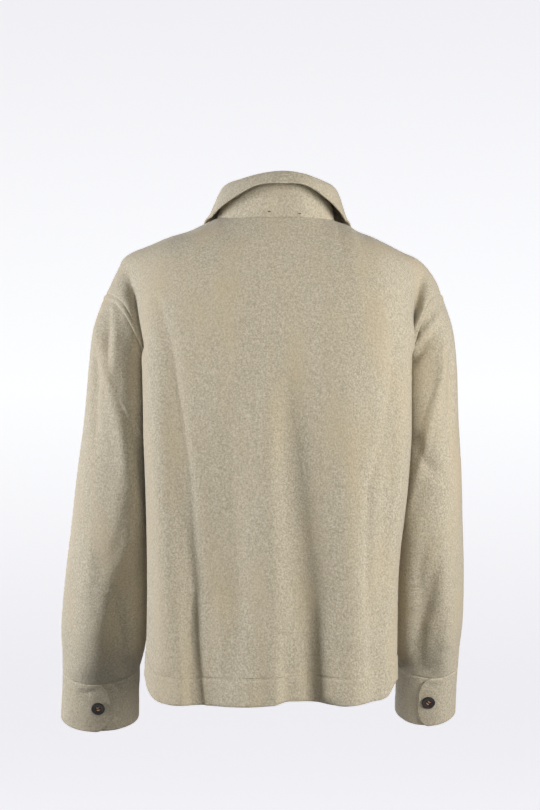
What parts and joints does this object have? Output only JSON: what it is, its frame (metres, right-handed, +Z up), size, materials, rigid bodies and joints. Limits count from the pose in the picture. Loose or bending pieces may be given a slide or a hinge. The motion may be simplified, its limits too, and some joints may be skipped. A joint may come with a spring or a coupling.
{
  "type": "wool overshirt jacket",
  "caption": "Boxy wool overshirt jacket with a stand-up collar, dropped sleeves and buttoned barrel cuffs, in the shape it has when worn.",
  "frame": {"origin": "middle of the neck opening, level with the collar seam at the back, where the wearer's shoulders carry the jacket", "axes": "+Z up, the front faces -Y, the wearer's left arm is on +X"},
  "size_m": [0.5979, 0.3171, 0.8166],
  "materials": {
    "wool": "brushed wool with a short nap",
    "horn": "dark horn look, satin"
  },
  "bodies": {
    "root": {"back": "wool", "front_left": "wool", "front_right": "wool", "sleeve_left": "wool", "sleeve_right": "wool", "cuff_left": "wool", "cuff_right": "wool", "collar_stand": "wool", "collar_leaf": "wool", "button_cuff_left": "horn", "button_cuff_right": "horn", "button_front_1": "horn", "button_front_2": "horn", "button_front_3": "horn", "button_front_4": "horn", "button_front_5": "horn", "button_front_6": "horn"}
  },
  "joints": []
}
